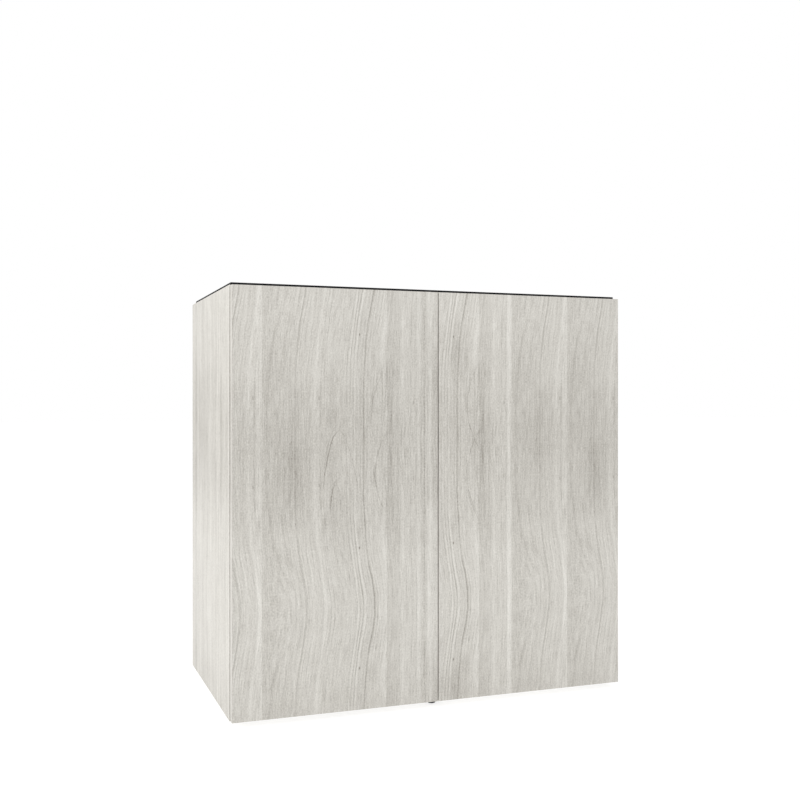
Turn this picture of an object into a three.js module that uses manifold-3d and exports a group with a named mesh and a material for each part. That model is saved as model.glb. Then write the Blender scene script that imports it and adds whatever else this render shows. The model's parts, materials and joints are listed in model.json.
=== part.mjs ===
// Aquarium stand cabinet: two full-overlay doors without handles on concealed cup hinges.
// Millimetres, +Z up, doors toward -Y. The origin is on the floor under the middle of the cabinet.
import * as THREE from 'three';
import { mergeVertices } from 'three/addons/utils/BufferGeometryUtils.js';
import Module from 'manifold-3d';

const wasm = await Module();
wasm.setup();

// Overall sizes
const WIDTH = 900;
const DEPTH = 500;
const FOOT_HEIGHT = 12;
const TOP = 900;
const MAT_THICKNESS = 5;

// Boards and reveals
const BOARD = 18;
const DOOR_GAP = 2.5;
const CENTRE_GAP = 2;
const SIDE_REVEAL = 1;
const END_REVEAL = 1.5;
const BACK_INSET = 4;
const FIT = 0.3;

// Places worked out from the sizes above
const HALF = WIDTH / 2;
const DOOR_FRONT = -DEPTH / 2;
const DOOR_BACK = DOOR_FRONT + BOARD;
const CARCASS_FRONT = DOOR_BACK + DOOR_GAP;
const CARCASS_BACK = DEPTH / 2;
const INNER = HALF - BOARD;
const FLOOR = FOOT_HEIGHT + BOARD;
const CEILING = TOP - BOARD;
const BACK_OUTER = CARCASS_BACK - BACK_INSET;
const BACK_INNER = BACK_OUTER - BOARD;
const DOOR_WIDTH = HALF - SIDE_REVEAL - CENTRE_GAP / 2;

// Shelves and their pins
const SHELF_TOP = 470;
const SHELF_CLEARANCE = 1;
const SHELF_FRONT = CARCASS_FRONT + 22;
const SHELF_BACK = BACK_INNER - 4;
const PIN_RADIUS = 2.5;
const PIN_DEPTH = 8;
const PIN_REACH = 7;
const PIN_PITCH = 32;
const PIN_ROWS = [-1, 0, 1];
const PIN_COLUMNS = [SHELF_FRONT + 40, SHELF_BACK - 40];
const PIN_HEIGHT = SHELF_TOP - BOARD - PIN_RADIUS;

// Cable cut-outs in the back
const CUTOUT_RADIUS = 40;
const CUTOUT_X = 330;
const CUTOUT_Z = 800;
const GROMMET_BORE = 35;
const GROMMET_RIM = 5;

// Levelling mat on the top board
const MAT_INSET = 2;
const MAT_BACK = 210;

// Concealed hinges. Local X runs inward from the cabinet's outer face, local Y back from the carcass front.
// One link swings on the arm's pin, and the cup swings on the link's other end.
const HINGE_HEIGHTS = { upper: 800, lower: 112 };
const CUP_X = 24;
const CUP_RADIUS = 17.5;
const CUP_DEPTH = 13.5;
const POCKET_HALF = 12;
const POCKET_DEPTH = 12.7;
const NOTCH = { depth: 3, halfHeight: 8, lip: 2 };
const FLANGE = { inner: 21, outer: 45, halfHeight: 31, thickness: 0.8 };
const ARM_PIVOT = [42, 1.5];
const CUP_PIVOT = [15.3, -5.5];
const LINK_BEND = [18.4, -8.1];
const LINK_HALF_HEIGHT = 7;
const LINK_HALF_WIDTH = 2.2;
const PIVOT_RADIUS = 1.2;
const EYE_RADIUS = 3;
const EYE_HOLE = 1.6;
const ARM = { nose: 3.4, bottom: 34, top: 45.5, web: 1.5, front: 8, back: 76, cheeks: [7.4, 8.9] };
const PLATE = { thickness: 2.5, front: 18, back: 64, halfHeight: 24, railFront: 14, railHalf: 7 };

// Levelling feet: one under each corner, two under the divider
const FOOT_PLACES = [[-390, -175], [390, -175], [0, -209], [-390, 205], [390, 205], [0, 205]];
const FOOT_NAMES = ['front_left', 'front_right', 'front_centre', 'back_left', 'back_right', 'back_centre'];
const FOOT_RADIUS = 9;
const STEM_RADIUS = 3.8;
const SOCKET_RADIUS = 7;
const SOCKET_FLANGE = { reach: 4, thickness: 2 };

// Push-to-open latches under the top board, one beside each side of the divider
const LATCH_X = 42;
const LATCH_WIDTH = 20;
const LATCH_HEIGHT = 14;
const LATCH_LENGTH = 70;
const PLUNGER_RADIUS = 4;
const PLUNGER_LENGTH = 34;
const STRIKE_THICKNESS = 1;

const ROUND = 32;
const MEDIUM_ROUND = 20;
const SMALL_ROUND = 16;

const material = (color, roughness, metalness = 0) =>
  new THREE.MeshStandardMaterial({ color, roughness, metalness });
const LAMINATE = material(0xcbc7bf, 0.55);
const STEEL = material(0xb9bbbd, 0.3, 1);
const BLACK_PLASTIC = material(0x1b1b1c, 0.5);
const GREY_PLASTIC = material(0xd8d8d6, 0.5);
const FOAM = material(0x141414, 0.95);

// Box between two corners
function box(low, high) {
  const size = high.map((value, i) => value - low[i]);
  const geometry = new THREE.BoxGeometry(...size);
  return geometry.translate(...low.map((value, i) => value + size[i] / 2));
}

// Cylinder along Z, from z0 to z1
function post(radius, x, y, z0, z1, sides = ROUND) {
  const geometry = new THREE.CylinderGeometry(radius, radius, z1 - z0, sides);
  return geometry.rotateX(Math.PI / 2).translate(x, y, (z0 + z1) / 2);
}

// Cylinder along Y, from y0 to y1
function rodY(radius, x, z, y0, y1, sides = ROUND) {
  const geometry = new THREE.CylinderGeometry(radius, radius, y1 - y0, sides);
  return geometry.translate(x, (y0 + y1) / 2, z);
}

// Cylinder along X, from x0 to x1
function rodX(radius, y, z, x0, x1, sides = SMALL_ROUND) {
  const geometry = new THREE.CylinderGeometry(radius, radius, x1 - x0, sides);
  return geometry.rotateZ(Math.PI / 2).translate((x0 + x1) / 2, y, z);
}

function toSolid(geometry) {
  const bare = geometry.clone();
  bare.deleteAttribute('normal');
  bare.deleteAttribute('uv');
  const merged = mergeVertices(bare, 1e-4);
  return new wasm.Manifold(new wasm.Mesh({
    numProp: 3,
    vertProperties: new Float32Array(merged.attributes.position.array),
    triVerts: new Uint32Array(merged.index.array),
  }));
}

function toGeometry(solid) {
  const { vertProperties, triVerts } = solid.getMesh();
  const geometry = new THREE.BufferGeometry();
  geometry.setAttribute('position', new THREE.BufferAttribute(new Float32Array(vertProperties), 3));
  geometry.setIndex(new THREE.BufferAttribute(new Uint32Array(triVerts), 1));
  geometry.computeVertexNormals();
  return geometry;
}

// Joins the first list of geometries, then cuts away the second
function carve(joined, cut = []) {
  let solid = toSolid(joined[0]);
  for (const geometry of joined.slice(1)) {
    solid = solid.add(toSolid(geometry));
  }
  for (const geometry of cut) {
    solid = solid.subtract(toSolid(geometry));
  }
  return toGeometry(solid);
}

// The pieces of each half stand in a group of their own: the right half is the left one mirrored
const cabinet = new THREE.Group();
const halves = { left: new THREE.Group(), right: new THREE.Group() };
halves.right.scale.x = -1;
cabinet.add(halves.left, halves.right);

function add(name, geometry, finish, group = cabinet) {
  const mesh = new THREE.Mesh(geometry, finish);
  mesh.name = name;
  group.add(mesh);
}

// Blind holes for shelf pins, bored from the face at x toward the given direction
function pinHoles(x, direction) {
  const end = x + direction * (PIN_DEPTH + FIT);
  const holes = [];
  for (const y of PIN_COLUMNS) {
    for (const row of PIN_ROWS) {
      const z = PIN_HEIGHT + row * PIN_PITCH;
      holes.push(rodX(PIN_RADIUS + FIT, y, z, Math.min(x, end) - (direction > 0 ? 1 : 0),
        Math.max(x, end) + (direction < 0 ? 1 : 0)));
    }
  }
  return holes;
}

function sidePanel() {
  const board = box([-HALF, CARCASS_FRONT, FOOT_HEIGHT], [-INNER, CARCASS_BACK, TOP]);
  return carve([board], pinHoles(-INNER, -1));
}

function dividerPanel() {
  const board = box([-BOARD / 2, CARCASS_FRONT, FLOOR], [BOARD / 2, BACK_INNER, CEILING]);
  return carve([board], [...pinHoles(-BOARD / 2, 1), ...pinHoles(BOARD / 2, -1)]);
}

function backPanel() {
  const board = box([-INNER, BACK_INNER, FLOOR], [INNER, BACK_OUTER, CEILING]);
  const holes = [-1, 1].map((s) =>
    rodY(CUTOUT_RADIUS, s * CUTOUT_X, CUTOUT_Z, BACK_INNER - 1, BACK_OUTER + 1));
  return carve([board], holes);
}

function bottomPanel() {
  const board = box([-INNER, CARCASS_FRONT, FOOT_HEIGHT], [INNER, CARCASS_BACK, FLOOR]);
  const holes = FOOT_PLACES.map(([x, y]) =>
    post(SOCKET_RADIUS + FIT, x, y, FOOT_HEIGHT - 1, FLOOR + 1, SMALL_ROUND));
  return carve([board], holes);
}

function shelf() {
  const inset = BOARD / 2 + SHELF_CLEARANCE;
  return box([-INNER + SHELF_CLEARANCE, SHELF_FRONT, SHELF_TOP - BOARD], [-inset, SHELF_BACK, SHELF_TOP]);
}

// A pin pushed into the face at x, standing out toward the given direction
function shelfPin(x, y, direction) {
  const buried = x - direction * PIN_DEPTH;
  const tip = x + direction * PIN_REACH;
  return rodX(PIN_RADIUS, y, PIN_HEIGHT, Math.min(buried, tip), Math.max(buried, tip));
}

// Full-overlay door of the left half, with a blind cup hole for each hinge
function door() {
  const outer = -HALF + SIDE_REVEAL;
  const board = box([outer, DOOR_FRONT, FOOT_HEIGHT + END_REVEAL],
    [outer + DOOR_WIDTH, DOOR_BACK, TOP - END_REVEAL]);
  const holes = Object.values(HINGE_HEIGHTS).map((z) =>
    rodY(CUP_RADIUS + FIT, -HALF + CUP_X, z, DOOR_BACK - CUP_DEPTH - FIT, DOOR_BACK + 1));
  return carve([board], holes);
}

// Hinge-local places turned into places in the left half of the cabinet
const hingeX = (x) => -HALF + x;
const hingeY = (y) => CARCASS_FRONT + y;

function hingePost(radius, [x, y], z0, z1) {
  return post(radius, hingeX(x), hingeY(y), z0, z1, SMALL_ROUND);
}

function hingeBox(low, high, z0, z1) {
  return box([hingeX(low[0]), hingeY(low[1]), z0], [hingeX(high[0]), hingeY(high[1]), z1]);
}

// Cup with its two ears, the pocket that the link folds into through a notch in the rim,
// and the pin that the link's end turns on
function hingeCup(z) {
  const face = -DOOR_GAP;
  const cup = rodY(CUP_RADIUS, hingeX(CUP_X), z, hingeY(face - CUP_DEPTH), hingeY(face));
  const ears = [-1, 1].map((s) => hingeBox([FLANGE.inner, face], [FLANGE.outer, face + FLANGE.thickness],
    z + (s > 0 ? POCKET_HALF : -FLANGE.halfHeight), z + (s > 0 ? FLANGE.halfHeight : -POCKET_HALF)));
  const pocket = hingeBox([CUP_X - POCKET_HALF, face - POCKET_DEPTH], [CUP_X + POCKET_HALF, face + 5],
    z - POCKET_HALF, z + POCKET_HALF);
  const notch = hingeBox([CUP_X - POCKET_HALF - NOTCH.lip, face - NOTCH.depth],
    [CUP_X + CUP_RADIUS + 1, face + 5], z - NOTCH.halfHeight, z + NOTCH.halfHeight);
  const pin = hingePost(PIVOT_RADIUS, CUP_PIVOT, z - POCKET_HALF - 0.5, z + POCKET_HALF + 0.5);
  return carve([carve([cup, ...ears], [pocket, notch]), pin]);
}

function linkBar(from, to, z) {
  const length = Math.hypot(to[0] - from[0], to[1] - from[1]);
  const bar = new THREE.BoxGeometry(length, 2 * LINK_HALF_WIDTH, 2 * LINK_HALF_HEIGHT);
  bar.rotateZ(Math.atan2(to[1] - from[1], to[0] - from[0]));
  return bar.translate(hingeX((from[0] + to[0]) / 2), hingeY((from[1] + to[1]) / 2), z);
}

// Cranked link with an eye at each end
function hingeLink(z) {
  const [z0, z1] = [z - LINK_HALF_HEIGHT, z + LINK_HALF_HEIGHT];
  const bars = [linkBar(ARM_PIVOT, LINK_BEND, z), linkBar(LINK_BEND, CUP_PIVOT, z)];
  const rounds = [hingePost(LINK_HALF_WIDTH, LINK_BEND, z0, z1),
    ...[ARM_PIVOT, CUP_PIVOT].map((place) => hingePost(EYE_RADIUS, place, z0, z1))];
  const bores = [ARM_PIVOT, CUP_PIVOT].map((place) => hingePost(EYE_HOLE, place, z0 - 1, z1 + 1));
  return carve([...bars, ...rounds], bores);
}

// Arm: two cheeks hold the link's pin between them, and a web joins them over the plate's rail
function hingeArm(z) {
  const [near, far] = ARM.cheeks;
  const web = hingeBox([ARM.top - ARM.web, ARM.front], [ARM.top, ARM.back], z - far, z + far);
  const cheeks = [[z + near, z + far], [z - far, z - near]].flatMap(([z0, z1]) => [
    hingePost(ARM.nose, ARM_PIVOT, z0, z1),
    hingeBox([ARM_PIVOT[0] - ARM.nose, ARM_PIVOT[1]], [ARM.top, ARM.front + 1], z0, z1),
    hingeBox([ARM.bottom, ARM.front], [ARM.top, ARM.back], z0, z1),
  ]);
  return carve([web, ...cheeks, hingePost(PIVOT_RADIUS, ARM_PIVOT, z - far, z + far)]);
}

// Mounting plate: two wings screwed to the side board, and the rail that the arm clips onto
function hingePlate(z) {
  const wings = hingeBox([BOARD, PLATE.front], [BOARD + PLATE.thickness, PLATE.back],
    z - PLATE.halfHeight, z + PLATE.halfHeight);
  const rail = hingeBox([BOARD, PLATE.railFront], [ARM.top - ARM.web, ARM.back - 2],
    z - PLATE.railHalf, z + PLATE.railHalf);
  return carve([wings, rail]);
}

// Foot with a rounded pad and the threaded stem that screws up into its socket
function foot() {
  const neck = FOOT_HEIGHT - 4;
  const stemTop = FLOOR - 2;
  const profile = [[0, 0], [FOOT_RADIUS - 2, 0], [FOOT_RADIUS - 0.6, 0.6], [FOOT_RADIUS, 2],
    [FOOT_RADIUS, neck], [STEM_RADIUS, neck], [STEM_RADIUS, stemTop], [0, stemTop]];
  const turned = new THREE.LatheGeometry(profile.map(([r, z]) => new THREE.Vector2(r, z)), MEDIUM_ROUND);
  return turned.rotateX(Math.PI / 2);
}

// Socket: a sleeve through the bottom board with a flange under it
function socket() {
  const bore = STEM_RADIUS + FIT;
  const rim = SOCKET_RADIUS + SOCKET_FLANGE.reach;
  const under = FOOT_HEIGHT - SOCKET_FLANGE.thickness;
  const profile = [[bore, under], [rim, under], [rim, FOOT_HEIGHT],
    [SOCKET_RADIUS, FOOT_HEIGHT], [SOCKET_RADIUS, FLOOR], [bore, FLOOR], [bore, under]];
  const turned = new THREE.LatheGeometry(profile.map(([r, z]) => new THREE.Vector2(r, z)), MEDIUM_ROUND);
  return turned.rotateX(Math.PI / 2);
}

// Ring that lines a cable cut-out, with its rim on the back board's outer face
function grommet() {
  const outer = CUTOUT_RADIUS - FIT;
  const profile = [[GROMMET_BORE, BACK_INNER], [outer, BACK_INNER], [outer, BACK_OUTER],
    [CUTOUT_RADIUS + GROMMET_RIM, BACK_OUTER], [CUTOUT_RADIUS + GROMMET_RIM, BACK_OUTER + 2],
    [GROMMET_BORE, BACK_OUTER + 2], [GROMMET_BORE, BACK_INNER]];
  return new THREE.LatheGeometry(profile.map(([r, y]) => new THREE.Vector2(r, y)), ROUND);
}

const LATCH_Z = CEILING - LATCH_HEIGHT / 2;
const STRIKE_FACE = DOOR_BACK + STRIKE_THICKNESS;

// Latch housing, open at the front for its plunger
function latchHousing() {
  const body = box([-LATCH_X - LATCH_WIDTH / 2, CARCASS_FRONT, CEILING - LATCH_HEIGHT],
    [-LATCH_X + LATCH_WIDTH / 2, CARCASS_FRONT + LATCH_LENGTH, CEILING]);
  const bore = rodY(PLUNGER_RADIUS + FIT, -LATCH_X, LATCH_Z, CARCASS_FRONT - 1,
    STRIKE_FACE + PLUNGER_LENGTH + 4, SMALL_ROUND);
  return carve([body], [bore]);
}

function latchPlunger() {
  return rodY(PLUNGER_RADIUS, -LATCH_X, LATCH_Z, STRIKE_FACE + FIT,
    STRIKE_FACE + PLUNGER_LENGTH, SMALL_ROUND);
}

function strikePlate() {
  return rodY(2 * PLUNGER_RADIUS, -LATCH_X, LATCH_Z, DOOR_BACK, STRIKE_FACE);
}

add('top_panel', box([-INNER, CARCASS_FRONT, CEILING], [INNER, CARCASS_BACK, TOP]), LAMINATE);
add('bottom_panel', bottomPanel(), LAMINATE);
add('back_panel', backPanel(), LAMINATE);
add('centre_divider', dividerPanel(), LAMINATE);
add('levelling_mat',
  box([-HALF + MAT_INSET, CARCASS_FRONT, TOP], [HALF - MAT_INSET, MAT_BACK, TOP + MAT_THICKNESS]), FOAM);

FOOT_PLACES.forEach(([x, y], i) => {
  add(`foot_${FOOT_NAMES[i]}`, foot().translate(x, y, 0), BLACK_PLASTIC);
  add(`foot_socket_${FOOT_NAMES[i]}`, socket().translate(x, y, 0), BLACK_PLASTIC);
});

for (const [side, half] of Object.entries(halves)) {
  add(`${side}_side_panel`, sidePanel(), LAMINATE, half);
  add(`${side}_door`, door(), LAMINATE, half);
  add(`${side}_shelf`, shelf(), LAMINATE, half);
  PIN_COLUMNS.forEach((y, i) => {
    const place = ['front', 'back'][i];
    add(`${side}_shelf_pin_outer_${place}`, shelfPin(-INNER, y, 1), STEEL, half);
    add(`${side}_shelf_pin_inner_${place}`, shelfPin(-BOARD / 2, y, -1), STEEL, half);
  });
  for (const [level, z] of Object.entries(HINGE_HEIGHTS)) {
    add(`${side}_${level}_hinge_cup`, hingeCup(z), STEEL, half);
    add(`${side}_${level}_hinge_link`, hingeLink(z), STEEL, half);
    add(`${side}_${level}_hinge_arm`, hingeArm(z), STEEL, half);
    add(`${side}_${level}_hinge_plate`, hingePlate(z), STEEL, half);
  }
  add(`${side}_latch_housing`, latchHousing(), GREY_PLASTIC, half);
  add(`${side}_latch_plunger`, latchPlunger(), GREY_PLASTIC, half);
  add(`${side}_latch_strike`, strikePlate(), STEEL, half);
  add(`${side}_cable_grommet`, grommet().translate(-CUTOUT_X, 0, CUTOUT_Z), BLACK_PLASTIC, half);
}

export default cabinet;
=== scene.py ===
# Aquarium stand cabinet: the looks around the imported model. Metres, +Z up, doors toward -Y.
import json
import math

import bmesh
import bpy
from mathutils import Matrix, Vector

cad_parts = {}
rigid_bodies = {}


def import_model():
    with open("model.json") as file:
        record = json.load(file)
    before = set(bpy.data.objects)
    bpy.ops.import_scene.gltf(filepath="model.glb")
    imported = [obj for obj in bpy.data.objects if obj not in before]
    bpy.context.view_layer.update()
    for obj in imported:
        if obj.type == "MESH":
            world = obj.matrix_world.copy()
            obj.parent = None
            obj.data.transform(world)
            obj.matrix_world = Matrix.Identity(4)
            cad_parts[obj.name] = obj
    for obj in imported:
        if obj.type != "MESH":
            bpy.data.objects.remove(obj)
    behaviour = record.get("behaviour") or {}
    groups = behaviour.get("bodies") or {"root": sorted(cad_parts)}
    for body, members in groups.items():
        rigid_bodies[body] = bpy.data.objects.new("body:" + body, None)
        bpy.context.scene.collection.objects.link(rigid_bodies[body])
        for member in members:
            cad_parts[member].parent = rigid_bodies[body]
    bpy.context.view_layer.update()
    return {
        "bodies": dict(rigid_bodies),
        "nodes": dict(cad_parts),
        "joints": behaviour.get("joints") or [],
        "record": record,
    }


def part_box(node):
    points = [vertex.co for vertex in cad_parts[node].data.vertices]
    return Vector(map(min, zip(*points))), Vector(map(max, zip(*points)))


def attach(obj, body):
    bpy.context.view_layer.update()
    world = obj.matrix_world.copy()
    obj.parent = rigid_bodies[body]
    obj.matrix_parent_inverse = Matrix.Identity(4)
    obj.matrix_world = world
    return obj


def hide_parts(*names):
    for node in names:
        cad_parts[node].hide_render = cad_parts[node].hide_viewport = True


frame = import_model()
NODES = frame["nodes"]
BODY_OF = {node: body for body, nodes in frame["record"]["behaviour"]["bodies"].items() for node in nodes}
SIDES = {"left": -1, "right": 1}
LEVELS = ("upper", "lower")

BODY_LOW, BODY_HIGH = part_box("left_side_panel")
BODY_LEFT = BODY_LOW.x
BODY_TOP = BODY_HIGH.z
MILLIMETRE = 0.001


# ---------------------------------------------------------------- node trees
class Shader:
    """A small hand for building a material's node tree."""

    def __init__(self, name):
        self.material = bpy.data.materials.new(name)
        self.material.use_nodes = True
        self.tree = self.material.node_tree
        self.tree.nodes.clear()
        self.output = self.tree.nodes.new("ShaderNodeOutputMaterial")
        self.surface = self.tree.nodes.new("ShaderNodeBsdfPrincipled")
        self.tree.links.new(self.surface.outputs[0], self.output.inputs["Surface"])

    def node(self, kind, inputs=None, **settings):
        made = self.tree.nodes.new("ShaderNode" + kind)
        for key, value in settings.items():
            setattr(made, key, value)
        for key, value in (inputs or {}).items():
            self.feed(made.inputs[key], value)
        return made

    def feed(self, socket, value):
        if isinstance(value, bpy.types.NodeSocket):
            self.tree.links.new(value, socket)
        else:
            socket.default_value = value

    def math(self, operation, *values, clamp=False):
        made = self.node("Math", operation=operation, use_clamp=clamp)
        for socket, value in zip(made.inputs, values):
            self.feed(socket, value)
        return made.outputs[0]

    def add(self, *values):
        total = values[0]
        for value in values[1:]:
            total = self.math("ADD", total, value)
        return total

    def times(self, a, b):
        return self.math("MULTIPLY", a, b)

    def span(self, value, low, high, to_low=0.0, to_high=1.0, smooth=False):
        made = self.node("MapRange", {"Value": value, "From Min": low, "From Max": high,
                                      "To Min": to_low, "To Max": to_high})
        made.interpolation_type = "SMOOTHSTEP" if smooth else "LINEAR"
        return made.outputs[0]

    def mix(self, factor, low, high):
        return self.node("Mix", {0: factor, 2: low, 3: high}).outputs[0]

    def place(self):
        """Object coordinates, split into x, y and z: the shared frame at rest."""
        split = self.node("SeparateXYZ", {0: self.node("TexCoord").outputs["Object"]})
        return split.outputs

    def point(self, x, y=0.0, z=0.0):
        return self.node("CombineXYZ", {0: x, 1: y, 2: z}).outputs[0]

    def noise(self, vector, scale=1.0, detail=2.0, roughness=0.5):
        made = self.node("TexNoise", {"Vector": vector, "Scale": scale, "Detail": detail,
                                      "Roughness": roughness})
        return made.outputs["Fac"]

    def colour_ramp(self, value, stops):
        made = self.node("ValToRGB", {0: value})
        ramp = made.color_ramp
        while len(ramp.elements) < len(stops):
            ramp.elements.new(0.5)
        for element, (position, colour) in zip(ramp.elements, stops):
            element.position = position
            element.color = (*colour, 1.0)
        return made.outputs[0]

    def bump(self, height, distance, strength=1.0):
        made = self.node("Bump", {"Height": height, "Strength": strength, "Distance": distance})
        self.tree.links.new(made.outputs[0], self.surface.inputs["Normal"])

    def set(self, **values):
        names = {"colour": "Base Color", "roughness": "Roughness", "metallic": "Metallic",
                 "specular": "Specular IOR Level"}
        for key, value in values.items():
            if key == "colour" and isinstance(value, tuple):
                value = (*value, 1.0)
            self.feed(self.surface.inputs[names[key]], value)
        return self.material


# ---------------------------------------------------------------- laminate
# The printed decor is read across the board by u and down it by d, both in metres. It shows planks side by
# side, and pieces of the decor come back in several planks, so u is first turned into a place s in the decor.
# Down the board the print is mirrored again and again: w runs from 0 at a fold to HALF_REPEAT at the next.
PLANKS = (
    # from u, shift to the place in the decor
    (0.0000, 0.1390),
    (0.0625, 0.0000),
    (0.4500, -0.2145),
    (0.6265, -0.5640),
    (0.7655, -0.7030),
    (0.9000, -0.5490),
)
LIGHT_EDGES = (0.0625, 0.6265, 0.7655)
LIGHT_EDGE_TONE = 0.050
FOLD_DEPTH = 0.3215
HALF_REPEAT = 0.351
PINCH = 0.075
BULGE = 0.024
WIDE_PLANK = (0.0625, 0.332)
PAST_PLANK_TONE = -0.040
FLARE_TONE = 0.055

# Growth lines of the wide plank, dark, or light where the depth is negative: place at the pinch, width, depth
VEINS = (
    (0.1310, 0.0042, 0.11),
    (0.1380, 0.0020, 0.05),
    (0.1580, 0.0013, 0.06),
    (0.1740, 0.0060, -0.05),
    (0.1860, 0.0016, 0.08),
    (0.1890, 0.0018, -0.05),
    (0.1935, 0.0016, 0.09),
    (0.2410, 0.0012, 0.08),
    (0.2445, 0.0020, -0.07),
    (0.2490, 0.0016, 0.11),
    (0.2555, 0.0022, 0.14),
    (0.2595, 0.0020, -0.07),
    (0.2640, 0.0013, 0.10),
    (0.2690, 0.0018, -0.05),
    (0.2735, 0.0013, 0.09),
    (0.2795, 0.0028, 0.20),
    (0.2870, 0.0014, 0.09),
    (0.2915, 0.0030, -0.05),
)
# The one growth line that leans away from the others: place at the pinch, lean, last w, width, depth
LEANING_VEIN = (0.072, 0.617, 0.27, 0.0060, 0.07)
# Pointed arches in the same plank, nested: centre, top, reach to the left and to the right, height, depth
ARCHES = (
    (0.2285, 0.299, 0.0365, 0.0375, 0.110, 0.20),
    (0.2270, 0.286, 0.0430, 0.0260, 0.150, 0.07),
    (0.2212, 0.405, 0.0140, 0.0080, 0.050, 0.17),
)
# Veins that curve back to the edge of the plank, as parabolas: leftmost u, its d, curvature, first and
# last d, width, depth. The one with a negative depth is light.
SWEEPS = (
    (0.3050, 0.391, 3.5, 0.303, 0.480, 0.0024, 0.20),
    (0.3015, 0.398, 3.3, 0.350, 0.480, 0.0016, 0.09),
    (0.2960, 0.400, 2.9, 0.370, 0.490, 0.0016, 0.08),
    (0.2975, 0.262, 3.4, 0.166, 0.290, 0.0022, 0.16),
    (0.2940, 0.262, 3.1, 0.175, 0.330, 0.0016, 0.09),
    (0.2890, 0.262, 2.7, 0.190, 0.330, 0.0016, 0.07),
    (0.5175, 0.397, 3.3, 0.292, 0.492, 0.0022, 0.16),
    (0.5135, 0.392, 3.0, 0.350, 0.505, 0.0016, 0.12),
    (0.5085, 0.392, 2.6, 0.370, 0.505, 0.0016, 0.08),
    (0.5175, 0.247, 3.3, 0.153, 0.350, 0.0020, 0.14),
    (0.5135, 0.252, 3.0, 0.170, 0.290, 0.0016, 0.07),
    (0.2190, 0.385, 7.0, 0.405, 0.438, 0.0030, -0.16),
)
# Straight stripes: place, half-width, strength
STRIPES = (
    (0.085, 0.035, -0.025),
    (0.368, 0.006, 0.030),
    (0.404, 0.008, 0.070),
    (0.429, 0.008, 0.075),
    (0.440, 0.036, 0.025),
)
# Dark stitched line between two of the stripes: place, half-width, depth
STITCH = (0.417, 0.0018, 0.14)
# Darker clouds in the print: (u, d), half-sizes, depth
SMUDGES = (
    ((0.128, 0.400), (0.066, 0.130), 0.082),
    ((0.118, 0.300), (0.070, 0.140), 0.025),
    ((0.840, 0.400), (0.055, 0.125), 0.085),
    ((0.815, 0.270), (0.080, 0.130), 0.020),
    ((0.690, 0.320), (0.065, 0.160), 0.045),
    ((0.437, 0.140), (0.024, 0.120), 0.080),
    ((0.492, 0.140), (0.050, 0.090), 0.060),
    ((0.437, 0.830), (0.024, 0.110), 0.080),
    ((0.492, 0.860), (0.050, 0.090), 0.060),
    ((0.350, 0.360), (0.050, 0.170), 0.020),
    ((0.550, 0.330), (0.046, 0.130), 0.050),
    ((0.020, 0.380), (0.060, 0.170), 0.025),
    ((0.222, 0.450), (0.050, 0.100), 0.035),
)
# Pin knots: place in the decor, w, half-height, depth
KNOTS = (
    (0.2710, 0.2245, 0.0042, 0.42),
    (0.1830, 0.0910, 0.0070, 0.18),
    (0.3925, 0.0805, 0.0075, 0.20),
)
KNOT_HALF_WIDTH = 0.0022
ARCH_LINE = 0.0020
LAMINATE_STOPS = (
    (0.0, (0.250, 0.230, 0.200)),
    (0.5, (0.565, 0.545, 0.502)),
    (1.0, (0.830, 0.812, 0.765)),
)


def bell(shader, value, centre, width):
    """1 at the centre, falling smoothly to 0 at the width on each side."""
    away = shader.math("ABSOLUTE", shader.add(value, -centre))
    return shader.span(away, 0.0, width, 1.0, 0.0, smooth=True)


def line_at(shader, offset, width):
    """A line of ink: sharp on its left, fading out on its right."""
    rise = shader.span(offset, -0.45 * width, 0.0)
    fall = shader.span(offset, 0.0, 1.3 * width, 1.0, 0.0, smooth=True)
    return shader.times(rise, fall)


def squared_distance(shader, value, centre):
    return shader.math("POWER", shader.math("ABSOLUTE", shader.add(value, -centre)), 2.0)


def plank_place(shader, u):
    shift = PLANKS[0][1]
    for (_, before), (start, after) in zip(PLANKS, PLANKS[1:]):
        shift = shader.math("MULTIPLY_ADD", shader.math("GREATER_THAN", u, start), after - before, shift)
    return shader.add(u, shift)


def veins(shader, ring, w):
    """Growth lines of the wide plank, as ink."""
    total = 0.0
    for place, width, depth in VEINS:
        mark = line_at(shader, shader.add(ring, -place), width)
        total = shader.math("MULTIPLY_ADD", mark, depth, total)
    place, lean, last, width, depth = LEANING_VEIN
    away = squared_distance(shader, w, PINCH)
    offset = shader.math("MULTIPLY_ADD", away, -lean, shader.add(ring, -place))
    mark = shader.times(line_at(shader, offset, width), shader.span(w, last - 0.05, last, depth, 0.0))
    return shader.add(total, mark)


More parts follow.
